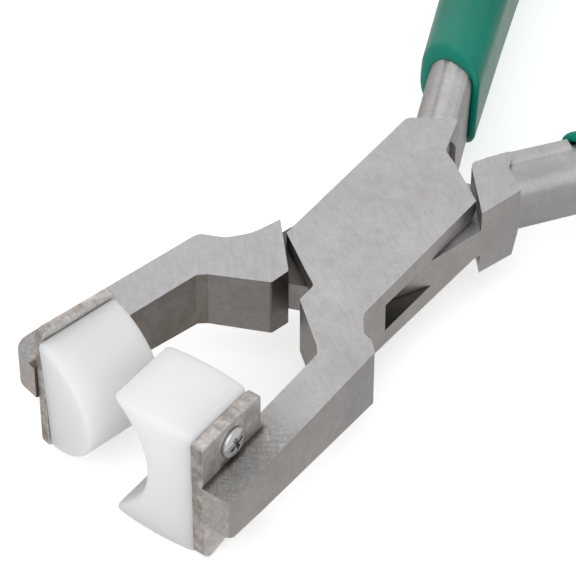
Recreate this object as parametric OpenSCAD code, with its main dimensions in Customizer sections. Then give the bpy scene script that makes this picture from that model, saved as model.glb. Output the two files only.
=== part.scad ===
// Box-joint pliers with replaceable nylon jaws, one hollow and one half-round.
// Origin: centre of the pivot, half way through the joint. +X points to the nose,
// +Z up along the pivot. The box half has its jaw on +Y and its handle on -Y; the
// inner half is the other way round. Drawn open, by the angle `open_angle`.

/* [Joint] */
// Angle the inner half stands open from jaws-parallel, degrees
open_angle = 13; // [4:0.5:27]
// Width of the joint block across the pliers
body_w = 17.4; // [14:0.1:22]
// Thickness of the steel at the pivot
joint_t = 10.63; // [8:0.01:14]
// Loss of thickness for every millimetre towards the nose
taper = 0.0537; // [0:0.0001:0.08]
// Thickness of the neck that passes through the slot
neck_t = 4.7; // [3:0.1:6]
// Gap between the neck and each cheek of the slot
slot_gap = 0.04; // [0.02:0.01:0.1]
// Diameter of the pivot pin
pin_d = 6.5; // [4:0.1:8]
// Radial running clearance of the neck on the pin
pin_gap = 0.04; // [0.01:0.01:0.1]
// Distance of the front shoulder faces from the pivot
front_shoulder = 13.55; // [12:0.05:16]
// Distance of the rear shoulder faces from the pivot
rear_shoulder = 12.8; // [12:0.05:16]
// Direction of the shoulder faces, measured from the long axis
shoulder_angle = 56; // [45:0.5:70]

/* [Jaw arms] */
// Distance from the long axis to the inner side of each arm
arm_in = 8; // [5:0.1:12]
// Distance from the long axis to the outer side of each arm
arm_out = 14; // [10:0.1:18]
// Distance from the pivot to the end of the arms
nose_x = 52.9; // [35:0.1:70]
// Depth of the ground pocket that takes the backing plate
pocket = 1.5; // [0.5:0.1:2.5]
// Thickness of the arms at the very end
nose_t = 7.1; // [5:0.1:10]
// Depth filed off the top of the arm of the box half, at its end
filed = 0.6; // [0:0.1:1]
// Widening of the arm of the inner half at its end
nose_flare = 0.3; // [0:0.1:1.5]
// Height ground off the underside of the arm of the inner half, at its end
nose_lift = 2.3; // [0:0.1:3]

/* [Backing plates] */
// Length of the plates along the arms
plate_len = 12.2; // [8:0.1:20]
// Thickness of the plate behind the hollow pad
plate_t = 1.9; // [1:0.05:3]
// Thickness of the plate behind the half-round pad
round_plate_t = 1.5; // [1:0.05:3]
// Distance from the mid plane to the upper end of the plate of the hollow pad
hollow_plate_top = 9.7; // [9:0.1:13]
// Distance from the mid plane to its lower nose corner
hollow_plate_low = 11.5; // [10:0.1:13]
// Rise of its lower end from the nose corner to the other corner
hollow_plate_rise = 2.4; // [0:0.1:2.5]
// Distance from the mid plane to the upper end of the plate of the half-round pad
round_plate_top = 10.6; // [9:0.1:13]
// Distance from the mid plane to its lower end
round_plate_low = 10.3; // [9:0.1:13]
// Radius of the lower nose corner of the plate of the hollow pad
hollow_plate_corner = 1.6; // [1:0.1:5]
// Radius of the upper nose corner of the other plate
round_plate_corner = 1.3; // [1:0.1:5]

/* [Nylon pads] */
// Length of the pads along the arms
pad_len = 12.5; // [8:0.1:20]
// Height of the hollow pad
hollow_h = 21.9; // [14:0.1:26]
// Distance of its middle below the mid plane
hollow_drop = 0.45; // [0:0.05:1]
// Distance from the plate to the two lips of the hollow pad
hollow_depth = 13.3; // [6:0.1:18]
// Radius of the hollow
hollow_r = 12.5; // [9:0.1:20]
// Distance from the plate to the bottom of the hollow
hollow_floor = 7.4; // [3:0.1:12]
// Bulge of the end faces of the hollow pad
end_bulge = 0.5; // [0.1:0.1:2]
// Radius of the half-round pad
round_r = 10; // [7:0.1:14]
// Distance of its centre behind the plate face
round_sink = 0.5; // [0:0.1:2]

/* [Screws] */
// Distance of each screw from the middle of the plate
screw_z = 6.3; // [6.3:0.05:8]
// Diameter of the screw heads
head_d = 4.4; // [3:0.1:4.4]
// Height of the screw heads
head_h = 0.9; // [0.8:0.1:2]
// Diameter of the screw shanks
screw_d = 2.5; // [2:0.1:4]
// Length of the screw shanks
screw_len = 6; // [4:0.5:10]

/* [Handles] */
// Angle at which the handle bar of the box half leaves the joint
box_handle_angle = 24.5; // [15:0.1:35]
// The same angle on the inner half
inner_handle_angle = 21; // [15:0.1:35]
// Distance from the long axis to the start of each bar
bar_y = 3.9; // [3:0.1:4.5]
// Length of the straight part of each bar, from the joint block
handle_straight = 42; // [30:0.5:60]
// Radius of the bend that brings the bars back in line
bend_r = 70; // [40:1:120]
// Angle turned by the bend
bend_angle = 27.5; // [15:0.5:40]
// Length of the bars past the bend
handle_tail = 22; // [10:0.5:40]
// Width of the bars
bar_w = 7; // [6.2:0.1:8]
// Height of the bars
bar_h = 10.3; // [9:0.1:11]
// Edge radius of the bars on the side facing the other handle
bar_inner_edge = 1.4; // [0.5:0.1:2.4]
// Edge radius of the bars on the outer side
bar_outer_edge = 4.4; // [1:0.1:4.5]
// Height of the forged ridge on top of the bar of the inner half
ridge_h = 0.6; // [0.2:0.1:0.8]
// Width of that ridge
ridge_w = 1.2; // [0.8:0.1:2]

/* [Grips] */
// Thickness of the dipped coat
coat = 1.5; // [0.8:0.1:4]
// Distance from the start of the bar to the mouth of the grip of the box half
box_grip_start = 15.1; // [13:0.1:25]
// The same distance on the inner half
inner_grip_start = 15; // [14:0.1:25]
// Slant of both mouths, nearer the joint on the side facing the other handle
mouth_slant = 39; // [0:1:40]
// Lean of the mouth on the box half, further up the handle at the top
box_mouth_lean = 15; // [0:1:20]
// Thickness of the closed grip end past the bar
grip_end = 3; // [1:0.5:6]

/* [Hidden] */
$fn = 64;

half_w = body_w / 2;
slot_h = neck_t + 2 * slot_gap;
// The bars start inside the joint block at this point
bar_x = -17;
// Straight pieces reach this far into the bend so that they join it
overlap = 0.02;
// The shoulders of the inner half stand this much clear of those of the box half
shoulder_gap = 0.5;
// Plates and pads sit at these distances from the long axis
seat_y = arm_in + pocket;
plate_y = seat_y - plate_t;
plate_x = nose_x - 0.3 - plate_len / 2;
// The plate and pad of the inner half sit slightly further in
round_seat_y = 8.9;
round_plate_y = round_seat_y - round_plate_t;
steel = [0.72, 0.71, 0.70];
zinc = [0.85, 0.86, 0.87];
nylon = [0.93, 0.93, 0.90];
green = [0.08, 0.50, 0.40];

// ---- helpers -------------------------------------------------------------

// Point of a front shoulder face: `distance` from the pivot, `along` from the foot of the normal
function shoulder(distance, along) =
    distance * [sin(shoulder_angle), -cos(shoulder_angle)]
    + along * [cos(shoulder_angle), sin(shoulder_angle)];

// Point where that face meets the side of the joint block
function shoulder_side(distance) =
    shoulder(distance, (distance * cos(shoulder_angle) - half_w) / sin(shoulder_angle));

function unit(v) = v / norm(v);
function wrap(a) = a > 180 ? a - 360 : (a < -180 ? a + 360 : a);

// Arc that rounds corner c, between the points before and after it
function fillet(before, c, after, r, steps) =
    let (
        u = unit(before - c),
        w = unit(after - c),
        half = acos(u * w) / 2,
        centre = c + unit(u + w) * r / sin(half),
        start = c + u * r / tan(half) - centre,
        end = c + w * r / tan(half) - centre,
        a0 = atan2(start[1], start[0]),
        turn = wrap(atan2(end[1], end[0]) - a0)
    )
    [for (i = [0:steps]) centre + r * [cos(a0 + turn * i / steps), sin(a0 + turn * i / steps)]];

// Outline through corners given as [x, y, corner radius]
function rounded(corners, steps = 8) =
    let (n = len(corners))
    [for (i = [0:n - 1])
        let (
            c = [corners[i][0], corners[i][1]],
            b = corners[(i + n - 1) % n],
            a = corners[(i + 1) % n],
            r = corners[i][2]
        )
        each (r > 0 ? fillet([b[0], b[1]], c, [a[0], a[1]], r, steps) : [c])
    ];

// Section of a handle bar, grown by `coat` for its grip. The sharper edges face the other handle
function handle_section(coat = 0) =
    let (
        w = bar_w / 2 + coat,
        h = bar_h / 2 + coat,
        outer = bar_outer_edge + coat,
        inner = bar_inner_edge + coat
    )
    rounded([[-w, -h, outer], [w, -h, inner], [w, h, inner], [-w, h, outer]]);

// Half the thickness between the ground faces, at x
function half_t(x) = (joint_t - taper * x) / 2;

// Steel between the two tapering ground faces. The end of the arm can lose `top_loss` of its
// height on top, over the whole arm, and `low_loss` below, past the middle of the plate
module ground_stock(top_loss = 0, low_loss = 0) {
    rear_x = -30;
    arm_x = 24;
    plate_mid_x = nose_x - 7;
    end_x = nose_x + 2;
    rotate([90, 0, 0])
        linear_extrude(80, center = true)
            polygon([
                [rear_x, -half_t(rear_x)],
                [plate_mid_x, -half_t(plate_mid_x)],
                [end_x, low_loss - nose_t / 2],
                [end_x, nose_t / 2 - top_loss],
                [plate_mid_x, half_t(plate_mid_x) - top_loss],
                [arm_x, half_t(arm_x)],
                [rear_x, half_t(rear_x)]
            ]);
}

// Slab centred on the mid plane
module slab(points, height) {
    linear_extrude(height, center = true)
        polygon(points);
}

// Frame at the start of a handle bar on the +Y side, its X along the bar
module at_handle(angle) {
    translate([bar_x, bar_y, 0])
        rotate([0, 0, 180 - angle])
            children();
}

// Section swept along a handle: straight, bent, then straight for `tail`
module handle_run(section, tail) {
    rotate([90, 0, 90])
        linear_extrude(handle_straight + overlap)
            polygon(section);
    translate([handle_straight, bend_r, 0])
        rotate([0, 0, -90]) {
            rotate_extrude(angle = bend_angle, $fn = 180)
                translate([bend_r, 0])
                    mirror([1, 0])
                        polygon(section);
            rotate([0, 0, bend_angle])
                translate([bend_r, -overlap, 0])
                    rotate([90, 0, 180])
                        linear_extrude(tail + overlap)
                            polygon(section);
        }
}

module bar(angle) {
    at_handle(angle)
        handle_run(handle_section(), handle_tail);
}

// Ridge on the side facing the other handle, up to the mouth of the grip
module ridge(angle) {
    ridge_len = inner_grip_start - 2.8;
    side = bar_w / 2 - 0.2;
    top = bar_h / 2 + ridge_h;
    at_handle(angle)
        intersection() {
            translate([0, side, 0])
                rotate([90, 0, 0])
                    linear_extrude(bar_w)
                        polygon([
                            [0, 0],
                            [ridge_len, 0],
                            [ridge_len, top - ridge_h * 0.25],
                            [0, top]
                        ]);
            rotate([90, 0, 90])
                linear_extrude(ridge_len)
                    polygon([
                        [0, 0],
                        [side, 0],
                        [side, top],
                        [side - ridge_w, top],
                        [side - ridge_w * 1.7, bar_h / 2 - 0.1],
                        [0, bar_h / 2 - 0.1]
                    ]);
        }
}

// Domed screw lying along Y, its head below the origin and its shank towards +Y
module screw() {
    edge_h = head_h * 0.45;
    slot_w = head_d * 0.14;
    rotate([-90, 0, 0])
        difference() {
            union() {
                rotate_extrude()
                    polygon([
                        [0, 0],
                        [head_d / 2, 0],
                        for (a = [90:-10:0])
                            [head_d / 2 * sin(a), -edge_h - (head_h - edge_h) * cos(a)]
                    ]);
                cylinder(h = screw_len, d = screw_d);
            }
            for (turn = [0, 90])
                rotate([0, 0, turn + 20])
                    translate([0, 0, -head_h])
                        cube([head_d * 0.58, slot_w, head_h * 1.1], center = true);
        }
}

// The inner half and everything on it, turned open about the pivot
module opened() {
    rotate([0, 0, -open_angle])
        children();
}

// ---- box half ------------------------------------------------------------

box_outline = rounded([
    [each shoulder_side(front_shoulder), 0],
    [each shoulder(front_shoulder, 6), 1],
    [16.4, 0.25, 1],
    [19.6, 0.25, 0.4],
    [25, 7, 0.5],
    [26.2, arm_in, 1],
    [nose_x - plate_len - 0.3, arm_in, 0],
    [nose_x - plate_len - 0.3, seat_y, 0],
    [nose_x, seat_y, 0],
    [nose_x, arm_out, 0.9],
    [21.7, arm_out, 0.5],
    [20.1, 12.4, 0.8],
    [19.7, 10.8, 1.2],
    [16.9, half_w, 3],
    [each -shoulder_side(rear_shoulder), 0],
    [each -shoulder(rear_shoulder, 6), 1],
    [-15.4, -0.4, 1.2],
    [-21.8, -2.7, 0.3],
    [-17.9, -half_w, 1.6]
]);

// Room for the neck, open at both sides of the block
slot_outline = [
    [11.7, 14],
    [11.7, half_w],
    [16.3, 0.1],
    [20, -4],
    [14, -14],
    [-11.7, -14],
    [-11.7, -half_w],
    [-16.3, -0.1],
    [-20, 4],
    [-14, 14]
];

module box_half() {
    color(steel)
        difference() {
            union() {
                intersection() {
                    slab(box_outline, 20);
                    ground_stock(top_loss = filed);
                }
                mirror([0, 1, 0])
                    bar(box_handle_angle);
            }
            slab(slot_outline, slot_h);
            // the pin is a press fit in both cheeks
            cylinder(h = 30, d = pin_d, center = true);
            // the inner edges of the cheeks are broken where the neck leaves them
            for (side = [-1, 1])
                translate([each -shoulder(rear_shoulder, 0), side * slot_h / 2])
                    rotate([0, 0, shoulder_angle])
                        translate([-1.2, 0, 0])
                            rotate([45, 0, 0])
                                cube([10, 1.6, 1.6], center = true);
        }
}

// ---- inner half ----------------------------------------------------------

inner_front = rounded([
    [each shoulder_side(front_shoulder + shoulder_gap), 0],
    [each shoulder(front_shoulder + shoulder_gap, 9), 0.3],
    [19.8, -0.25, 0.6],
    [25.2, -7.1, 0],
    [26.4, -arm_in, 0.8],
    [nose_x - plate_len - 0.3, -arm_in, 0],
    [nose_x - plate_len - 0.3, -round_seat_y, 0],
    [nose_x + 0.1, -round_seat_y, 0],
    [nose_x + 0.1, -arm_out - nose_flare, 2.8],
    [21.2, -arm_out, 1.6],
    [18.9, -10.9, 3],
    [15.6, -9.2, 6]
]);

inner_rear = rounded([
    [each -shoulder_side(rear_shoulder + shoulder_gap), 0],
    [each -shoulder(rear_shoulder + shoulder_gap, 8.7), 1.2],
    [-18.6, 1.1, 2],
    [-21.6, 2.1, 0.3],
    [-20.7, 3.4, 0.8],
    [-19.1, 4.5, 1],
    [-18.6, 5.9, 1],
    [-17.3, half_w + 0.15, 0.3]
]);

neck_outline = [
    [1.2, -half_w],
    [shoulder_side(front_shoulder + shoulder_gap)[0] + 0.5, -half_w],
    shoulder(front_shoulder + shoulder_gap, 8.9),
    [12.2, 5.55],
    [-1.2, half_w],
    [-shoulder_side(rear_shoulder + shoulder_gap)[0] - 0.5, half_w],
    -shoulder(rear_shoulder + shoulder_gap, 8),
    [-12.2, -5.55]
];

// Steel missing from the lower rear edge of the block, beside the bar
module rear_draft() {
    draft_top = -1.5;
    draft_low = -6.5;
    forward = 1.2;
    translate([-17.3, 12, 0])
        rotate([90, 0, 0])
            linear_extrude(7.5)
                polygon([
                    [-3, draft_top],
                    [0, draft_top],
                    [forward, draft_low],
                    [-3, draft_low]
                ]);
}

module inner_half() {
    color(steel)
        opened()
            difference() {
                union() {
                    intersection() {
                        union() {
                            slab(inner_front, 20);
                            difference() {
                                slab(inner_rear, 20);
                                rear_draft();
                            }
                        }
                        ground_stock(low_loss = nose_lift);
                    }
                    slab(neck_outline, neck_t);
                    bar(inner_handle_angle);
                    ridge(inner_handle_angle);
                }
                cylinder(h = 30, d = pin_d + 2 * pin_gap, center = true);
            }
}

// Ground off flush with the box half
module pivot_pin() {
    color(steel)
        intersection() {
            cylinder(h = 2 * joint_t, d = pin_d, center = true);
            ground_stock();
        }
}

// ---- plates, pads and screws ---------------------------------------------

// Plate standing on y = 0, with the radii of its upper and lower nose corners. Its lower end
// can rise towards the joint
module plate(thickness, top, low, top_radius, low_radius, rise = 0) {
    rotate([-90, 0, 0])
        difference() {
            linear_extrude(thickness)
                polygon(rounded([
                    [-plate_len / 2, -top, 0.5],
                    [plate_len / 2, -top, top_radius],
                    [plate_len / 2, low, low_radius],
                    [-plate_len / 2, low - rise, 0.5]
                ]));
            for (z = [-screw_z, screw_z])
                translate([0, z, -1])
                    cylinder(h = thickness + 2, d = screw_d + 0.4);
        }
}

module concave_jaw_plate() {
    color(steel)
        translate([plate_x, plate_y, 0])
            plate(plate_t, hollow_plate_top, hollow_plate_low, 0.5, hollow_plate_corner, hollow_plate_rise);
}

module convex_jaw_plate() {
    color(steel)
        opened()
            translate([plate_x, -round_seat_y, 0])
                plate(round_plate_t, round_plate_top, round_plate_low, round_plate_corner, 0.5);
}

// Hollow pad, back against y = plate_y, lips towards -Y
module concave_jaw_pad() {
    depth = hollow_depth;
    bulge_r = (pow(depth / 2, 2) + pow(end_bulge, 2)) / (2 * end_bulge);
    color(nylon)
        difference() {
            intersection() {
                translate([plate_x, plate_y - depth / 2, -hollow_drop])
                    cube([pad_len, depth, hollow_h], center = true);
                intersection_for (side = [-1, 1])
                    translate([plate_x - side * (bulge_r - pad_len / 2), plate_y - depth / 2, 0])
                        cylinder(h = hollow_h + 4, r = bulge_r, center = true, $fn = 180);
            }
            translate([plate_x, plate_y - hollow_floor - hollow_r, 0])
                rotate([0, 90, 0])
                    cylinder(h = pad_len + 4, r = hollow_r, center = true, $fn = 96);
            pad_bores(plate_y, -1);
        }
}

// Half-round pad of the inner half
module convex_jaw_pad() {
    color(nylon)
        opened()
            difference() {
                translate([plate_x, -round_plate_y, 0])
                    intersection() {
                        translate([0, -round_sink, 0])
                            rotate([0, 90, 0])
                                cylinder(h = plate_len, r = round_r, center = true, $fn = 96);
                        translate([0, round_r, 0])
                            cube([plate_len + 2, 2 * round_r, 2 * round_r + 2], center = true);
                    }
                pad_bores(-round_plate_y, 1);
            }
}

// Threaded bores of a pad, entering at y and running in direction `way`
module pad_bores(y, way) {
    for (z = [-screw_z, screw_z])
        translate([plate_x, y - way, z])
            rotate([-90 * way, 0, 0])
                cylinder(h = screw_len - plate_t + 1.6, d = screw_d);
}

module concave_screw(z) {
    color(zinc)
        translate([plate_x, seat_y, z])
            mirror([0, 1, 0])
                screw();
}

module convex_screw(z) {
    color(zinc)
        opened()
            translate([plate_x, -round_seat_y, z])
                screw();
}

module concave_upper_screw() {
    concave_screw(screw_z);
}

module concave_lower_screw() {
    concave_screw(-screw_z);
}

module convex_upper_screw() {
    convex_screw(screw_z);
}

module convex_lower_screw() {
    convex_screw(-screw_z);
}

// ---- grips ---------------------------------------------------------------

// Sleeve on a handle on the +Y side, closed at its end
module grip(angle, start, lean = 0) {
    color(green)
        at_handle(angle)
            difference() {
                handle_run(handle_section(coat), handle_tail + grip_end);
                handle_run(handle_section(), handle_tail);
                translate([start, 0, 0])
                    rotate([0, lean, mouth_slant])
                        translate([-20, 0, 0])
                            cube([40, 40, 40], center = true);
            }
}

module box_grip() {
    mirror([0, 1, 0])
        grip(box_handle_angle, box_grip_start, box_mouth_lean);
}

module inner_grip() {
    opened()
        grip(inner_handle_angle, inner_grip_start);
}

box_half();
inner_half();
pivot_pin();
concave_jaw_plate();
convex_jaw_plate();
concave_jaw_pad();
convex_jaw_pad();
concave_upper_screw();
concave_lower_screw();
convex_upper_screw();
convex_lower_screw();
box_grip();
inner_grip();
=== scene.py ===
"""Looks of the nylon-jaw box-joint pliers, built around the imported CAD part.

All sizes are in metres, in the row frame: +X towards the nose, +Z up along the pivot pin. The jaw
of the box half is on the +Y side and its handle on the -Y side. The inner half is the other way round.
"""

import math

import bmesh
import bpy
from mathutils import Matrix, Vector


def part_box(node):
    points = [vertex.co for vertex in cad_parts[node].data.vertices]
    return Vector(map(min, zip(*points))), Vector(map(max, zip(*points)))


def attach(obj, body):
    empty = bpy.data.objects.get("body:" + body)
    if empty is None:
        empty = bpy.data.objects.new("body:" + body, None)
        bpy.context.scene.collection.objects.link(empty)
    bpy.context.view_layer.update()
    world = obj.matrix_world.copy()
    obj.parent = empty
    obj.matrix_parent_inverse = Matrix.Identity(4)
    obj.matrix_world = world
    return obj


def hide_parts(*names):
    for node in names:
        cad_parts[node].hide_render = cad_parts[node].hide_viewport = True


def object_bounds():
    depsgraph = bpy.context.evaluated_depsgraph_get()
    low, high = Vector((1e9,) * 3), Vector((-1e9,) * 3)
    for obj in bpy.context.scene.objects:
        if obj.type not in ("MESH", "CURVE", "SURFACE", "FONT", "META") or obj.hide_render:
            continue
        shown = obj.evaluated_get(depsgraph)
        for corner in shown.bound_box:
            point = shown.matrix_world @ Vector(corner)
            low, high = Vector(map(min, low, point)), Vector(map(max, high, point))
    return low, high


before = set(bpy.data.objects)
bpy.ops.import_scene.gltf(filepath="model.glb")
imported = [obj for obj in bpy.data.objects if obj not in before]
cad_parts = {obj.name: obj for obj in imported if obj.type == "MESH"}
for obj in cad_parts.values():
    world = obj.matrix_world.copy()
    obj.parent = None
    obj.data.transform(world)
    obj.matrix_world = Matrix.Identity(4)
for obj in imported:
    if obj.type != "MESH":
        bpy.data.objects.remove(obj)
cad_low, cad_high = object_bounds()
hollow_low, hollow_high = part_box("concave_jaw_pad")

MM = 0.001
NOSE = (1, 0, 0)
LEFT = (0, 1, 0)
RIGHT = (0, -1, 0)
UP = (0, 0, 1)
BOX_BODY = "box_side"
INNER_BODY = "inner_side"

# The inner half stands open by this angle about the pivot
OPEN_ANGLE = math.radians(13)

# Handle bars: section and path, before each half is put in its place
BAR_X = -17 * MM
BAR_Y = 3.9 * MM
BAR_WIDTH = 7 * MM
BAR_HEIGHT = 10.3 * MM
BAR_INNER_EDGE = 1.4 * MM
BAR_OUTER_EDGE = 4.4 * MM
STRAIGHT = 42 * MM
BEND_RADIUS = 70 * MM
BEND_ANGLE = math.radians(27.5)
TAIL = 22 * MM
BOX_HANDLE_ANGLE = math.radians(24.5)
INNER_HANDLE_ANGLE = math.radians(21)

# Coat of the grips. It thickens away from the mouth on the side facing the other handle
COAT = 1.55 * MM
FACING_COAT_AT_MOUTH = 1.05 * MM
FACING_COAT_FULL = 2.4 * MM
FACING_COAT_RUN = 29 * MM
INNER_EDGE_GROWTH = 1.2
BORE_OVERLAP = 0.02 * MM
BORE_DEPTH = 4 * MM
BORE_LEAD = 0.5 * MM
RIDGE_HEIGHT = 0.6 * MM

# Mouths of the grips: a rolled lip on a plane that slants across the bar and may lean up it
BOX_GRIP_START = 15.1 * MM
INNER_GRIP_START = 15 * MM
MOUTH_ACROSS = -0.805
BOX_MOUTH_UP = 0.346
MOUTH_UP_LIMIT = -2 * MM
SLANT_RUN = 14 * MM
LIP_LENGTH = 1.3 * MM
LIP_STEPS = 8

# Closed ends and mesh density of the grips
GRIP_END = 3 * MM
CAP_LENGTH = 7 * MM
CAP_TURN = math.radians(88)
CAP_FULLNESS = 0.7
CAP_STEPS = 9
RING_STEP = 0.8 * MM
CORNER_POINTS = 12
SIDE_POINTS = 8

# Hollow pad, from the box of its CAD block. Its top is dressed just below the block
PAD_X = (hollow_low.x + hollow_high.x) / 2
HOLLOW_LENGTH = hollow_high.x - hollow_low.x
HOLLOW_BACK = hollow_high.y
HOLLOW_DEPTH = hollow_high.y - hollow_low.y
HOLLOW_LOW = hollow_low.z
HOLLOW_TOP = hollow_high.z - 0.1 * MM
HOLLOW_FLOOR = 7.4 * MM
HOLLOW_RADIUS = 12.5 * MM
HOLLOW_END_BULGE = 0.5 * MM
HOLLOW_EDGE = 0.75 * MM

# Half-round pad, before it is turned open with the inner half
ROUND_BACK = -7.4 * MM
ROUND_RADIUS = 10 * MM
ROUND_SINK = 0.5 * MM
ROUND_LENGTH = 12.6 * MM
ROUND_EDGE = 3.2 * MM
ROUND_TILT = math.radians(2.5)
ROUND_SLICES = 6
END_FACE_CENTRE = 4 * MM
END_FACE_SHARES = (0.25, 0.5, 0.72)

# Finish of the CAD nodes. Faces larger than FLAT_AREA are flat planes and are shaded flat
FLAT_AREA = 60 * MM * MM
WELD_GAP = 0.002 * MM
FLAT_ANGLE = math.radians(0.05)
SHARP_ANGLE = math.radians(28)
PAD_SHARP_ANGLE = math.radians(40)

# Zones of the steel halves, each from where it starts to where it is full
# The faces turned to the other jaw get their dull colour and painted shade over this run
DULL_SHADED_SIDE_ZONE = (6 * MM, 12 * MM)
BRAZE_ZONE = (39.5 * MM, 40.5 * MM)
BRAZE_DEPTH = (9.5 * MM, 10.1 * MM)
# Painted highlight on the nose-facing end faces of the arms starts over this run
LIT_END_ZONE = (45 * MM, 50 * MM)
SLOT_HEIGHT = (2.9 * MM, 3.3 * MM)
SLOT_FRONT = (20 * MM, 22 * MM)
# Painted shade inside the slot weakens towards the rear over this run
SLOT_SHADE_ZONE = (-6 * MM, 0)
BOX_FILED_FROM = 38 * MM
INNER_FILED_FROM = 42 * MM
FILED_RUN = 6 * MM

# Directions of the grinding and filing marks, from the long axis of a half
BELT_ANGLE = math.radians(-31)
BELT_CROSS_ANGLE = math.radians(20)
FILE_ANGLE = math.radians(35)
FILE_CROSS_ANGLE = math.radians(-48)

# Stage, light and camera
FLOOR_SIZE = 2.0
FLOOR_GAP = 0.2 * MM
FLOOR_GLOW = 0.45
SKY_STRENGTH = 0.54
LIGHTS = (
    # name, place, target, size, power
    ("overhead", (-0.45, -0.35, 0.75), (0, 0, 0), 1.5, 1.8),
    ("left_fill", (-0.2, -0.8, 0.5), (0, 0, 0), 1.3, 1.6),
    ("front_key", (0.6, 0.45, 0.7), (0.02, 0, 0), 1.6, 5.9),
)
CAMERA_AZIMUTH = math.radians(126.6)
CAMERA_ELEVATION = math.radians(44.3)
CAMERA_DISTANCE = 0.433
CAMERA_TARGET = Vector((14.85, -5.2, 0)) * MM
CAMERA_LENS = 200
CAMERA_SENSOR = 36

# Colours of the ground and filed steel, with the light and shade painted on it
GROUND_DEEP = (0.48, 0.465, 0.46)
GROUND_PALE = (0.575, 0.56, 0.555)
COOL_PATCH = (0.455, 0.455, 0.475)
GROUND_SPECK = (0.39, 0.37, 0.36)
GRAIN_LINE = (0.40, 0.39, 0.385)
FILED_DEEP = (0.27, 0.255, 0.245)
FILED_PALE = (0.55, 0.54, 0.53)
# Painted highlight, with file marks, on the nose-facing end faces of the arms
LIT_END_DEEP = (0.52, 0.485, 0.465)
LIT_END_PALE = (0.80, 0.76, 0.74)
# Dull colour with painted shade, for the faces turned to the other jaw
DULL_SHADED_DEEP = (0.19, 0.17, 0.15)
DULL_SHADED_PALE = (0.30, 0.275, 0.255)
DULL_SHADED_SPECK = (0.17, 0.15, 0.14)
BURNT_FLUX = (0.085, 0.062, 0.05)
# Painted shade inside the slot of the joint
SLOT_SHADE = (0.13, 0.12, 0.105)
# Painted shade in the inner corners of the steel
STEEL_CORNER_SHADE = (0.05, 0.04, 0.034)

# Colours of the jaw plates
PLATE_DEEP = (0.66, 0.635, 0.615)
PLATE_PALE = (0.86, 0.84, 0.82)
PLATE_EDGE_DEEP = (0.42, 0.38, 0.355)
PLATE_EDGE_PALE = (0.74, 0.70, 0.68)
SAW_STREAK = (0.25, 0.22, 0.20)
# Painted shade in the corners of the plates
PLATE_CORNER_SHADE = (0.045, 0.035, 0.03)

# Colours of the nylon, the screws, the grips and the floor
NYLON_WHITE = (0.87, 0.87, 0.875)
NYLON_CLEAN = (0.90, 0.90, 0.90)
# Painted shade on the lower part of the pads
NYLON_LOW_SHADE = (0.75, 0.735, 0.72)
# Painted shade in soft patches, strongest on the half-round pad
NYLON_SHADE_TONE = (0.62, 0.63, 0.645)
ZINC_DEEP = (0.74, 0.75, 0.77)
ZINC_PALE = (0.92, 0.92, 0.91)
# Painted shade in the recess of the screws
ZINC_RECESS_SHADE = (0.045, 0.042, 0.038)
GREEN_DEEP = (0.001, 0.18, 0.125)
GREEN_PALE = (0.003, 0.235, 0.165)
FLOOR_DEEP = (0.93, 0.93, 0.93)
FLOOR_PALE = (0.95, 0.95, 0.95)
FLOOR_IN_STEEL = (0.60, 0.585, 0.57)


# ---- node helpers ------------------------------------------------------------


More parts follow.
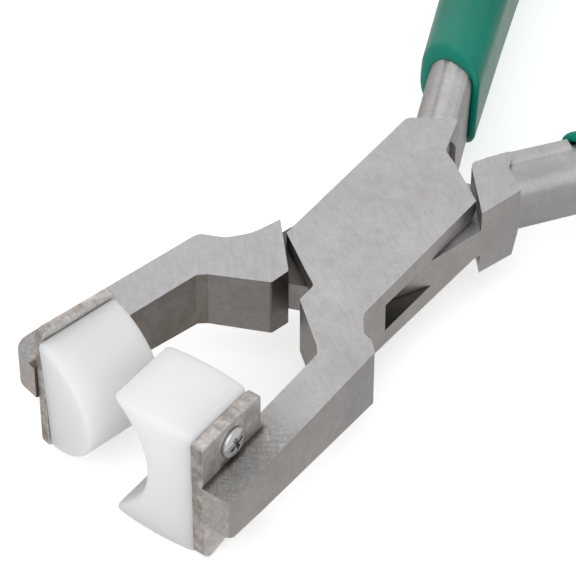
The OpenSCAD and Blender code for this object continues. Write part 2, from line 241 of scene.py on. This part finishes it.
class Nodes:
    """Short way to build a material's node tree."""

    def __init__(self, name):
        self.material = bpy.data.materials.new(name)
        self.material.use_nodes = True
        self.tree = self.material.node_tree
        self.bsdf = self.tree.nodes["Principled BSDF"]
        self.output = self.tree.nodes["Material Output"]
        self.coords = self.tree.nodes.new("ShaderNodeTexCoord")

    def add(self, kind, **settings):
        node = self.tree.nodes.new(kind)
        for key, value in settings.items():
            setattr(node, key, value)
        return node

    def link(self, source, target):
        self.tree.links.new(source, target)

    def put(self, socket, value):
        """Sets a socket to a number or a colour, or links it to another socket."""
        if isinstance(value, bpy.types.NodeSocket):
            self.link(value, socket)
        elif isinstance(value, tuple) and len(value) == 3 and socket.type == "RGBA":
            socket.default_value = (*value, 1)
        else:
            socket.default_value = value

    def place(self, angle, scale):
        """Object coordinates in axes turned by `angle` about Z, then stretched."""
        node = self.add("ShaderNodeMapping", vector_type="TEXTURE")
        node.inputs["Rotation"].default_value = (0, 0, angle)
        node.inputs["Scale"].default_value = [1 / factor for factor in scale]
        self.link(self.coords.outputs["Object"], node.inputs["Vector"])
        return node.outputs["Vector"]

    def noise(self, scale, detail=4, roughness=0.6, vector=None, distortion=0.0):
        node = self.add("ShaderNodeTexNoise")
        node.inputs["Scale"].default_value = scale
        node.inputs["Detail"].default_value = detail
        node.inputs["Roughness"].default_value = roughness
        node.inputs["Distortion"].default_value = distortion
        self.link(vector or self.coords.outputs["Object"], node.inputs["Vector"])
        return node.outputs["Fac"]

    def remap(self, value, low, high, to_low=0.0, to_high=1.0, smooth=False):
        node = self.add("ShaderNodeMapRange")
        if smooth:
            node.interpolation_type = "SMOOTHSTEP"
        self.put(node.inputs["Value"], value)
        node.inputs["From Min"].default_value = low
        node.inputs["From Max"].default_value = high
        node.inputs["To Min"].default_value = to_low
        node.inputs["To Max"].default_value = to_high
        return node.outputs["Result"]

    def mix(self, factor, a, b):
        """Colour `a` where the factor is 0, `b` where it is 1."""
        node = self.add("ShaderNodeMix", data_type="RGBA")
        self.put(node.inputs["Factor"], factor)
        self.put(node.inputs["A"], a)
        self.put(node.inputs["B"], b)
        return node.outputs["Result"]

    def math(self, operation, a, b=0.0):
        node = self.add("ShaderNodeMath", operation=operation)
        self.put(node.inputs[0], a)
        self.put(node.inputs[1], b)
        return node.outputs["Value"]

    def product(self, first, *others):
        for other in others:
            first = self.math("MULTIPLY", first, other)
        return first

    def magnitude(self, value):
        return self.math("ABSOLUTE", value)

    def dot(self, output, direction):
        node = self.add("ShaderNodeVectorMath", operation="DOT_PRODUCT")
        self.link(self.coords.outputs[output], node.inputs[0])
        node.inputs[1].default_value = direction
        return node.outputs["Value"]

    def facing(self, direction):
        """Cosine between the object-space normal and a direction."""
        return self.dot("Normal", direction)

    def along(self, direction):
        """Distance of the shaded point along a direction, in the row frame."""
        return self.dot("Object", direction)

    def corner_shade(self, base, colour, reach, low, high, amount):
        """Paints shade into `base` in inner corners narrower than `reach`, from ambient occlusion."""
        node = self.add("ShaderNodeAmbientOcclusion", samples=4)
        node.inputs["Distance"].default_value = reach
        return self.mix(self.remap(node.outputs["AO"], low, high, amount, 0), base, colour)

    def bump(self, height, strength, distance, normal=None):
        node = self.add("ShaderNodeBump")
        node.inputs["Strength"].default_value = strength
        node.inputs["Distance"].default_value = distance
        self.link(height, node.inputs["Height"])
        if normal is not None:
            self.link(normal, node.inputs["Normal"])
        return node.outputs["Normal"]

    def surface(self, **inputs):
        """Sets the inputs of the surface shader. Underscores stand for the spaces in their names."""
        for name, value in inputs.items():
            self.put(self.bsdf.inputs[name.replace("_", " ")], value)
        return self.material


def turned(direction, angle):
    return tuple(Matrix.Rotation(angle, 3, "Z") @ Vector(direction))


# ---- materials ---------------------------------------------------------------


def belt_ground(m, grain, clouds, mottle):
    """Bright ground steel with cool patches, dark specks and grinding lines."""
    patches = m.noise(45, 3, 0.5)
    colour = m.mix(m.remap(clouds, 0.35, 0.68), GROUND_DEEP, GROUND_PALE)
    colour = m.mix(m.remap(patches, 0.42, 0.62, 0, 0.6), colour, COOL_PATCH)
    colour = m.mix(m.remap(mottle, 0.45, 0.66, 0, 0.35), colour, GROUND_SPECK)
    return m.mix(m.remap(grain, 0.5, 0.75, 0, 0.3), colour, GRAIN_LINE)


def file_marks(m, angle):
    """1 on the strokes of a file that crossed a face in two directions."""
    strokes = m.noise(1, 4, 0.8, m.place(angle + FILE_ANGLE, (1500, 330, 900)), 1.5)
    crossing = m.noise(1, 4, 0.8, m.place(angle + FILE_CROSS_ANGLE, (1700, 300, 900)), 1.5)
    return m.product(m.remap(strokes, 0.35, 0.62), m.remap(crossing, 0.35, 0.62))


def braze_line(m, inwards, lengthways, mottle):
    """1 where burnt flux has run from the jaw plate onto the arm."""
    spread = m.math("ADD", m.product(inwards, -1), m.product(mottle, -0.8 * MM))
    return m.product(m.remap(spread, *BRAZE_DEPTH, 1, 0), m.remap(lengthways, *BRAZE_ZONE))


def shaded_slot(m, lengthways, upward):
    """1 on the level faces inside the slot of the joint, where shade is painted."""
    return m.product(
        m.remap(m.magnitude(m.along(UP)), *SLOT_HEIGHT, 1, 0),
        m.remap(m.magnitude(upward), 0.25, 0.5),
        m.remap(lengthways, *SLOT_FRONT, 1, 0),
        m.remap(lengthways, *SLOT_SHADE_ZONE, 0.15, 1),
    )


def ground_steel(name, angle, inner_side, filed_from):
    """Belt-ground tool steel, dull and with painted shade where it faces the other jaw, filed beside the
    jaw plate.

    `angle` turns the marks with the half, `inner_side` points at the other jaw and `filed_from` is
    where the file marks begin, as a distance towards the nose.
    """
    m = Nodes(name)
    clouds = m.noise(110, 5, 0.62)
    mottle = m.noise(700, 4, 0.7)
    grain = m.noise(1, 3, 0.7, m.place(angle + BELT_ANGLE, (2600, 300, 1400)))
    cross = m.noise(1, 2, 0.6, m.place(angle + BELT_CROSS_ANGLE, (3200, 160, 1500)))
    marks = file_marks(m, angle)
    nosewards = turned(NOSE, angle)
    inner_side = turned(inner_side, angle)
    lengthways = m.along(nosewards)
    upward = m.facing(UP)
    on_top = m.remap(upward, 0.6, 0.9)

    ragged = m.math("ADD", lengthways, m.product(clouds, 8 * MM))
    filed = m.product(m.remap(ragged, filed_from, filed_from + FILED_RUN, smooth=True), on_top)
    bright = belt_ground(m, grain, clouds, mottle)
    bright = m.mix(m.product(filed, 0.85), bright, m.mix(marks, FILED_DEEP, FILED_PALE))
    # Nose-facing end faces of the arms: file marks on a colour painted lighter, a painted highlight
    lit_end_face = m.product(m.remap(m.facing(nosewards), 0.7, 0.9), m.remap(lengthways, *LIT_END_ZONE))
    bright = m.mix(lit_end_face, bright, m.mix(marks, LIT_END_DEEP, LIT_END_PALE))
    braze = m.product(braze_line(m, m.along(inner_side), lengthways, mottle), on_top)
    bright = m.mix(m.product(braze, 0.85), bright, BURNT_FLUX)

    # Faces turned to the other jaw: a dull finish darkened further by painted shade
    dull_and_shaded = m.mix(m.remap(clouds, 0.35, 0.65), DULL_SHADED_DEEP, DULL_SHADED_PALE)
    dull_and_shaded = m.mix(m.remap(mottle, 0.45, 0.65, 0, 0.4), dull_and_shaded, DULL_SHADED_SPECK)
    inward = m.remap(m.facing(inner_side), 0.35, 0.8, smooth=True)
    base = m.mix(m.product(inward, m.remap(lengthways, *DULL_SHADED_SIDE_ZONE)), bright, dull_and_shaded)
    # Painted shade on the level faces inside the slot
    base = m.mix(shaded_slot(m, lengthways, upward), base, SLOT_SHADE)
    # Painted shade in the inner corners, seams and gaps of the steel
    base = m.corner_shade(base, STEEL_CORNER_SHADE, 1.1 * MM, 0.25, 0.75, 0.85)

    normal = m.bump(grain, 0.25, 0.02 * MM)
    normal = m.bump(cross, 0.2, 0.02 * MM, normal)
    normal = m.bump(mottle, 0.15, 0.04 * MM, normal)
    normal = m.bump(m.product(marks, filed), 0.7, 0.05 * MM, normal)
    rough = m.remap(grain, 0.3, 0.7, 0.36, 0.5)
    return m.surface(Base_Color=base, Metallic=1.0, Roughness=rough, Normal=normal)


def brazed_steel(name, angle):
    """Roughly sawn plate steel with a warm braze tint on its edges."""
    m = Nodes(name)
    saw = m.noise(1, 4, 0.75, m.place(angle, (1900, 260, 260)))
    clouds = m.noise(420, 4, 0.65)
    light = m.remap(clouds, 0.4, 0.62)
    edge = m.remap(m.magnitude(m.facing(turned(LEFT, angle))), 0.5, 0.8, 1, 0)
    face_colour = m.mix(light, PLATE_DEEP, PLATE_PALE)
    edge_colour = m.mix(light, PLATE_EDGE_DEEP, PLATE_EDGE_PALE)
    base = m.mix(edge, face_colour, edge_colour)
    streaks = m.product(m.remap(saw, 0.5, 0.66, 0, 0.55), m.remap(edge, 0, 1, 0.25, 1))
    base = m.mix(streaks, base, SAW_STREAK)
    # Painted shade in the corners and seams of the plate
    base = m.corner_shade(base, PLATE_CORNER_SHADE, 0.6 * MM, 0.15, 0.6, 0.8)
    rough = m.remap(clouds, 0.3, 0.7, 0.42, 0.6)
    return m.surface(Base_Color=base, Metallic=1.0, Roughness=rough, Normal=m.bump(saw, 0.8, 0.1 * MM))


def nylon(name, shade):
    """Milky nylon. `shade` sets how much painted shade, in soft patches, darkens it all over."""
    m = Nodes(name)
    # Painted shade, darker towards the bottom of the pads
    low = m.remap(m.along(UP), -12 * MM, 4 * MM, 1, 0)
    base = m.mix(m.noise(120, 3, 0.5), NYLON_WHITE, NYLON_CLEAN)
    base = m.mix(m.product(low, 0.85), base, NYLON_LOW_SHADE)
    # Painted shade in soft patches, its amount set by `shade`
    shade_patches = m.remap(m.noise(70, 2, 0.4), 0.4, 0.62, 0.6 * shade, shade, smooth=True)
    base = m.mix(shade_patches, base, NYLON_SHADE_TONE)
    grain = m.noise(2400, 3, 0.6)
    return m.surface(
        Base_Color=base,
        Roughness=0.6,
        Specular_IOR_Level=0.22,
        Subsurface_Weight=1.0,
        Subsurface_Radius=(1.0, 0.95, 0.9),
        Subsurface_Scale=6 * MM,
        Normal=m.bump(grain, 0.12, 0.03 * MM),
    )


def zinc():
    """Bright plated screw with painted shade in its recess."""
    m = Nodes("bright_zinc")
    tool_marks = m.noise(1800, 3, 0.6)
    base = m.mix(tool_marks, ZINC_DEEP, ZINC_PALE)
    # Painted shade in the cross recess and under the head
    base = m.corner_shade(base, ZINC_RECESS_SHADE, 1.0 * MM, 0.4, 0.85, 0.97)
    normal = m.bump(tool_marks, 0.1, 0.03 * MM)
    return m.surface(Base_Color=base, Metallic=1.0, Roughness=0.22, Normal=normal)


def dipped_plastic():
    """Glossy green dip with slow sags under a fine orange peel."""
    m = Nodes("green_dip")
    clouds = m.noise(60, 3, 0.5)
    sag = m.noise(130, 2, 0.5)
    orange_peel = m.noise(900, 2, 0.5)
    normal = m.bump(sag, 0.2, 0.4 * MM)
    normal = m.bump(orange_peel, 0.06, 0.06 * MM, normal)
    return m.surface(
        Base_Color=m.mix(m.remap(clouds, 0.3, 0.7), GREEN_DEEP, GREEN_PALE),
        Roughness=m.remap(clouds, 0.3, 0.7, 0.2, 0.28),
        Specular_IOR_Level=0.24,
        IOR=1.5,
        Normal=normal,
    )


STEEL_BOX = ground_steel("ground_steel_box", 0, RIGHT, BOX_FILED_FROM)
STEEL_INNER = ground_steel("ground_steel_inner", -OPEN_ANGLE, LEFT, INNER_FILED_FROM)
PLATE_BOX = brazed_steel("plate_steel_box", 0)
PLATE_INNER = brazed_steel("plate_steel_inner", -OPEN_ANGLE)
NYLON_HOLLOW = nylon("white_nylon", 0.05)
# The half-round pad is the same nylon with more painted shade
NYLON_ROUND = nylon("shaded_nylon", 0.34)
ZINC = zinc()
GREEN = dipped_plastic()


# ---- carried-over CAD nodes --------------------------------------------------


def make_flat_planes():
    """Node group that shades large faces flat, so that rounded edges do not bend their light."""
    group = bpy.data.node_groups.new("flat_planes", "GeometryNodeTree")
    group.is_modifier = True
    group.interface.new_socket("Geometry", in_out="INPUT", socket_type="NodeSocketGeometry")
    group.interface.new_socket("Geometry", in_out="OUTPUT", socket_type="NodeSocketGeometry")
    entry = group.nodes.new("NodeGroupInput")
    leave = group.nodes.new("NodeGroupOutput")
    area = group.nodes.new("GeometryNodeInputMeshFaceArea")
    large = group.nodes.new("FunctionNodeCompare")
    large.data_type = "FLOAT"
    large.operation = "GREATER_THAN"
    large.inputs["B"].default_value = FLAT_AREA
    shade = group.nodes.new("GeometryNodeSetShadeSmooth")
    shade.inputs["Shade Smooth"].default_value = False
    group.links.new(area.outputs["Area"], large.inputs["A"])
    group.links.new(entry.outputs[0], shade.inputs["Geometry"])
    group.links.new(large.outputs["Result"], shade.inputs["Selection"])
    group.links.new(shade.outputs["Geometry"], leave.inputs[0])
    return group


FLAT_PLANES = make_flat_planes()


def round_edges(obj, width, segments, sharp_angle):
    bevel = obj.modifiers.new("edges", "BEVEL")
    bevel.width = width
    bevel.segments = segments
    bevel.limit_method = "ANGLE"
    bevel.angle_limit = sharp_angle


def weight_normals(obj):
    normals = obj.modifiers.new("normals", "WEIGHTED_NORMAL")
    normals.weight = 100
    normals.keep_sharp = True


def dress(node, material, edge, segments=3):
    """Gives a CAD node its material and rounds its edges by `edge`."""
    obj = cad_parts[node]
    obj.data.materials.clear()
    obj.data.materials.append(material)
    imported_normals = obj.data.attributes.get("custom_normal")
    if imported_normals:
        obj.data.attributes.remove(imported_normals)
    for face in obj.data.polygons:
        face.use_smooth = True
    weld = obj.modifiers.new("weld", "WELD")
    weld.merge_threshold = WELD_GAP
    flat = obj.modifiers.new("flat_faces", "DECIMATE")
    flat.decimate_type = "DISSOLVE"
    flat.angle_limit = FLAT_ANGLE
    round_edges(obj, edge, segments, SHARP_ANGLE)
    planes = obj.modifiers.new("planes", "NODES")
    planes.node_group = FLAT_PLANES
    weight_normals(obj)


dress("box_half", STEEL_BOX, 0.22 * MM)
dress("pivot_pin", STEEL_BOX, 0.02 * MM, 1)
dress("inner_half", STEEL_INNER, 0.22 * MM)
dress("concave_jaw_plate", PLATE_BOX, 0.18 * MM)
dress("convex_jaw_plate", PLATE_INNER, 0.18 * MM)
for screw in ("concave_upper", "concave_lower", "convex_upper", "convex_lower"):
    dress(screw + "_screw", ZINC, 0.1 * MM, 2)


# ---- nylon pads ---------------------------------------------------------------


def add_object(name, mesh, material):
    bmesh.ops.recalc_face_normals(mesh, faces=mesh.faces)
    data = bpy.data.meshes.new(name)
    mesh.to_mesh(data)
    mesh.free()
    for face in data.polygons:
        face.use_smooth = True
    data.materials.append(material)
    obj = bpy.data.objects.new(name, data)
    bpy.context.scene.collection.objects.link(obj)
    return obj


def soften(obj, width):
    round_edges(obj, width, 5, PAD_SHARP_ANGLE)
    weight_normals(obj)


def hollow_pad():
    """Block with a round hollow in its front and slightly bulging ends."""
    rows = 21
    columns = 6
    slices = 6
    mesh = bmesh.new()
    corners = {}
    for i in range(rows + 1):
        z = HOLLOW_LOW + (HOLLOW_TOP - HOLLOW_LOW) * i / rows
        reach = HOLLOW_FLOOR + HOLLOW_RADIUS - math.sqrt(HOLLOW_RADIUS ** 2 - z ** 2)
        depth = min(reach, HOLLOW_DEPTH)
        for j in range(columns + 1):
            y = depth * j / columns
            from_middle = 2 * y / HOLLOW_DEPTH - 1
            half_length = HOLLOW_LENGTH / 2 - HOLLOW_END_BULGE * from_middle ** 2
            for k in range(slices + 1):
                on_skin = i in (0, rows) or j in (0, columns) or k in (0, slices)
                if on_skin:
                    x = PAD_X + half_length * (2 * k / slices - 1)
                    corners[i, j, k] = mesh.verts.new((x, HOLLOW_BACK - y, z))

    def quad(a, b, c, d):
        mesh.faces.new([corners[key] for key in (a, b, c, d)])

    for i in range(rows):
        for j in range(columns):
            for k in (0, slices):
                quad((i, j, k), (i, j + 1, k), (i + 1, j + 1, k), (i + 1, j, k))
    for k in range(slices):
        for i in range(rows):
            for j in (0, columns):
                quad((i, j, k), (i + 1, j, k), (i + 1, j, k + 1), (i, j, k + 1))
        for j in range(columns):
            for i in (0, rows):
                quad((i, j, k), (i, j + 1, k), (i, j + 1, k + 1), (i, j, k + 1))
    return add_object("hollow_nylon_pad", mesh, NYLON_HOLLOW)


def half_round():
    """Outline of the half-round pad as (out from the plate, up) points: its arc, then its flat back."""
    arc_points = 44
    back_points = 16
    half_height = math.sqrt(ROUND_RADIUS ** 2 - ROUND_SINK ** 2)
    limit = math.atan2(half_height, ROUND_SINK)
    outline = []
    for i in range(arc_points + 1):
        turn = limit * (2 * i / arc_points - 1)
        outline.append(Vector((ROUND_RADIUS * math.cos(turn) - ROUND_SINK, ROUND_RADIUS * math.sin(turn))))
    for i in range(1, back_points):
        outline.append(Vector((0, half_height * (1 - 2 * i / back_points))))
    return outline


def bridge(mesh, near, far):
    """Band of faces between two closed rings of vertices."""
    for i in range(len(near)):
        j = (i + 1) % len(near)
        mesh.faces.new((near[i], near[j], far[j], far[i]))


def round_pad():
    """Half-round bar with its flat back on the plate. It sits askew on its screws, higher at the rear."""
    outline = half_round()
    centre = Vector((END_FACE_CENTRE, 0))
    middle = Vector((PAD_X, 0, 0))
    askew = Matrix.Translation(middle) @ Matrix.Rotation(ROUND_TILT, 4, "Y") @ Matrix.Translation(-middle)
    placed = Matrix.Rotation(-OPEN_ANGLE, 4, "Z") @ askew
    mesh = bmesh.new()

    def ring(x, share):
        points = [centre + (point - centre) * share for point in outline]
        return [mesh.verts.new(placed @ Vector((x, ROUND_BACK + out, up))) for out, up in points]

    low = PAD_X - ROUND_LENGTH / 2
    high = PAD_X + ROUND_LENGTH / 2
    rings = [ring(low, share) for share in END_FACE_SHARES]
    rings += [ring(low + ROUND_LENGTH * i / ROUND_SLICES, 1) for i in range(ROUND_SLICES + 1)]
    rings += [ring(high, share) for share in reversed(END_FACE_SHARES)]
    for near, far in zip(rings, rings[1:]):
        bridge(mesh, near, far)
    mesh.faces.new(rings[0])
    mesh.faces.new(rings[-1])
    return add_object("round_nylon_pad", mesh, NYLON_ROUND)


# ---- dipped grips -------------------------------------------------------------


def rounded_section(half_width, half_height, inner, outer):
    """Loop of (across, up) points. `inner` and `outer` are the edge radii on the two sides."""
    quarters = (
        (half_width - inner, half_height - inner, inner, 0),
        (-half_width + outer, half_height - outer, outer, 90),
        (-half_width + outer, -half_height + outer, outer, 180),
        (half_width - inner, -half_height + inner, inner, 270),
    )

    def on_corner(corner, degrees):
        x, y, radius, start = corner
        turn = math.radians(start + degrees)
        return Vector((x + radius * math.cos(turn), y + radius * math.sin(turn)))

    points = []
    for corner, following in zip(quarters, quarters[1:] + quarters[:1]):
        points += [on_corner(corner, 90 * i / CORNER_POINTS) for i in range(CORNER_POINTS + 1)]
        last = points[-1]
        points += [last.lerp(on_corner(following, 0), i / SIDE_POINTS) for i in range(1, SIDE_POINTS)]
    return points


def handle_frame(distance):
    """Point and heading on the handle's centre line, heading +X at the start and turning left."""
    if distance < STRAIGHT:
        return Vector((distance, 0, 0)), 0.0
    turn = min((distance - STRAIGHT) / BEND_RADIUS, BEND_ANGLE)
    x = STRAIGHT + BEND_RADIUS * math.sin(turn)
    y = BEND_RADIUS * (1 - math.cos(turn))
    past = distance - STRAIGHT - BEND_RADIUS * turn
    heading = Vector((math.cos(turn), math.sin(turn), 0))
    return Vector((x, y, 0)) + heading * past, turn


def grip_rings(start):
    """Rings of a sleeve, from its bore over the lip to the closed end.

    Each is (distance along the handle, share of the coat, share of the mouth's slant, scale).
    """
    length = STRAIGHT + BEND_RADIUS * BEND_ANGLE + TAIL + GRIP_END
    rings = [(start + BORE_DEPTH, 0.0, 1.0, 1.0), (start + BORE_LEAD, 0.0, 1.0, 1.0)]
    for i in range(LIP_STEPS + 1):
        turn = math.radians(90) * i / LIP_STEPS
        rings.append((start + LIP_LENGTH * (1 - math.cos(turn)), math.sin(turn), 1.0, 1.0))
    steps = int((length - CAP_LENGTH - start - LIP_LENGTH) / RING_STEP)
    for i in range(1, steps):
        run = i * RING_STEP
        rings.append((start + LIP_LENGTH + run, 1.0, max(0.0, 1 - run / SLANT_RUN), 1.0))
    for i in range(1, CAP_STEPS + 1):
        turn = CAP_TURN * i / CAP_STEPS
        rings.append((length - CAP_LENGTH * (1 - math.sin(turn)), 1.0, 0.0, math.cos(turn) ** CAP_FULLNESS))
    return rings


def grip_sleeve(name, placed, start, mouth_up=0.0, ridge=0.0):
    """Dipped sleeve with a rolled, slanting mouth and a rounded closed end.

    `placed` puts the handle on its half, `mouth_up` leans the mouth up the handle towards the top and
    `ridge` lifts the upper edge that faces the other handle.
    """
    mesh = bmesh.new()
    previous = None
    for distance, share, slant, scale in grip_rings(start):
        grown = min(1.0, (distance - start) / FACING_COAT_RUN)
        facing_coat = FACING_COAT_AT_MOUTH + (FACING_COAT_FULL - FACING_COAT_AT_MOUTH) * grown
        coat = COAT * share - BORE_OVERLAP
        shift = (facing_coat - COAT) * share / 2
        section = rounded_section(
            BAR_WIDTH / 2 + coat + shift,
            BAR_HEIGHT / 2 + coat,
            BAR_INNER_EDGE + coat * INNER_EDGE_GROWTH,
            BAR_OUTER_EDGE + coat,
        )
        verts = []
        for point in section:
            inwards = max(0.0, point.x) / (BAR_WIDTH / 2)
            lifted = ridge * slant * inwards if point.y > 0 else 0.0
            across = (point.x + shift) * scale
            up = (point.y + lifted) * scale
            mouth = point.x * MOUTH_ACROSS + max(point.y, MOUTH_UP_LIMIT) * mouth_up
            centre, turn = handle_frame(distance + mouth * slant)
            sideways = Vector((-math.sin(turn), math.cos(turn), 0))
            verts.append(mesh.verts.new(placed @ (centre + sideways * across + Vector((0, 0, up)))))
        if previous:
            bridge(mesh, previous, verts)
        previous = verts
    mesh.faces.new(previous)
    return add_object(name, mesh, GREEN)


def handle_place(angle):
    """Start of the handle bar, heading back from the joint and out by `angle`."""
    return Matrix.Translation((BAR_X, BAR_Y, 0)) @ Matrix.Rotation(math.pi - angle, 4, "Z")


mirrored = Matrix.Scale(-1, 4, LEFT)
opened = Matrix.Rotation(-OPEN_ANGLE, 4, "Z")
concave_pad = hollow_pad()
convex_pad = round_pad()
soften(concave_pad, HOLLOW_EDGE)
soften(convex_pad, ROUND_EDGE)
box_sleeve = grip_sleeve(
    "box_grip_sleeve", mirrored @ handle_place(BOX_HANDLE_ANGLE), BOX_GRIP_START, mouth_up=BOX_MOUTH_UP
)
inner_sleeve = grip_sleeve(
    "inner_grip_sleeve", opened @ handle_place(INNER_HANDLE_ANGLE), INNER_GRIP_START, ridge=RIDGE_HEIGHT
)
for piece, body, node, slot in (
    (concave_pad, BOX_BODY, "concave_jaw_pad", "nylon"),
    (convex_pad, INNER_BODY, "convex_jaw_pad", "nylon"),
    (box_sleeve, BOX_BODY, "box_grip", "grip_green"),
    (inner_sleeve, INNER_BODY, "inner_grip", "grip_green"),
):
    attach(piece, body)
    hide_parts(node)


# ---- stage, light and camera -------------------------------------------------


def floor_material():
    """Pale floor that glows a little for the camera and is grey where steel mirrors it."""
    m = Nodes("pale_floor")
    m.surface(Base_Color=m.mix(m.noise(900, 2, 0.5), FLOOR_DEEP, FLOOR_PALE), Roughness=0.9)
    path = m.add("ShaderNodeLightPath")
    mirrored_floor = m.add("ShaderNodeEmission")
    mirrored_floor.inputs["Color"].default_value = (*FLOOR_IN_STEEL, 1)
    glow = m.add("ShaderNodeEmission")
    m.link(m.product(path.outputs["Is Camera Ray"], FLOOR_GLOW), glow.inputs["Strength"])
    lit = m.add("ShaderNodeAddShader")
    m.link(m.bsdf.outputs["BSDF"], lit.inputs[0])
    m.link(glow.outputs["Emission"], lit.inputs[1])
    shown = m.add("ShaderNodeMixShader")
    m.link(path.outputs["Is Glossy Ray"], shown.inputs["Fac"])
    m.link(lit.outputs["Shader"], shown.inputs[1])
    m.link(mirrored_floor.outputs["Emission"], shown.inputs[2])
    m.link(shown.outputs["Shader"], m.output.inputs["Surface"])
    return m.material


def make_floor():
    level = cad_low.z - FLOOR_GAP
    corners = [(-1, -1), (1, -1), (1, 1), (-1, 1)]
    data = bpy.data.meshes.new("floor")
    data.from_pydata([(x * FLOOR_SIZE, y * FLOOR_SIZE, level) for x, y in corners], [], [(0, 1, 2, 3)])
    data.materials.append(floor_material())
    floor = bpy.data.objects.new("floor", data)
    bpy.context.scene.collection.objects.link(floor)


def make_sky():
    """Even white light. The camera sees a full white backdrop, whatever the strength of the light."""
    sky = bpy.data.worlds.new("studio")
    bpy.context.scene.world = sky
    sky.use_nodes = True
    tree = sky.node_tree
    background = tree.nodes["Background"]
    background.inputs["Color"].default_value = (1, 1, 1, 1)
    path = tree.nodes.new("ShaderNodeLightPath")
    strength = tree.nodes.new("ShaderNodeMapRange")
    strength.inputs["To Min"].default_value = SKY_STRENGTH
    strength.inputs["To Max"].default_value = 1.0
    tree.links.new(path.outputs["Is Camera Ray"], strength.inputs["Value"])
    tree.links.new(strength.outputs["Result"], background.inputs["Strength"])


def area_light(name, place, target, size, power):
    data = bpy.data.lights.new(name, "AREA")
    data.shape = "DISK"
    data.size = size
    data.energy = power
    light = bpy.data.objects.new(name, data)
    bpy.context.scene.collection.objects.link(light)
    light.location = place
    light.rotation_mode = "QUATERNION"
    light.rotation_quaternion = (Vector(target) - Vector(place)).to_track_quat("-Z", "Y")


def make_camera():
    """Looks down past the nose from the side of the box half's jaw."""
    back = Vector((
        math.sin(CAMERA_AZIMUTH) * math.cos(CAMERA_ELEVATION),
        -math.cos(CAMERA_AZIMUTH) * math.cos(CAMERA_ELEVATION),
        math.sin(CAMERA_ELEVATION),
    ))
    data = bpy.data.cameras.new("camera")
    data.lens = CAMERA_LENS
    data.sensor_width = CAMERA_SENSOR
    data.clip_start = 0.01
    data.clip_end = 20
    camera = bpy.data.objects.new("camera", data)
    bpy.context.scene.collection.objects.link(camera)
    camera.location = CAMERA_TARGET + back * CAMERA_DISTANCE
    camera.rotation_mode = "QUATERNION"
    camera.rotation_quaternion = (-back).to_track_quat("-Z", "Y")
    bpy.context.scene.camera = camera


make_floor()
make_sky()
for light in LIGHTS:
    area_light(*light)
make_camera()
bpy.context.scene.view_settings.view_transform = "Standard"
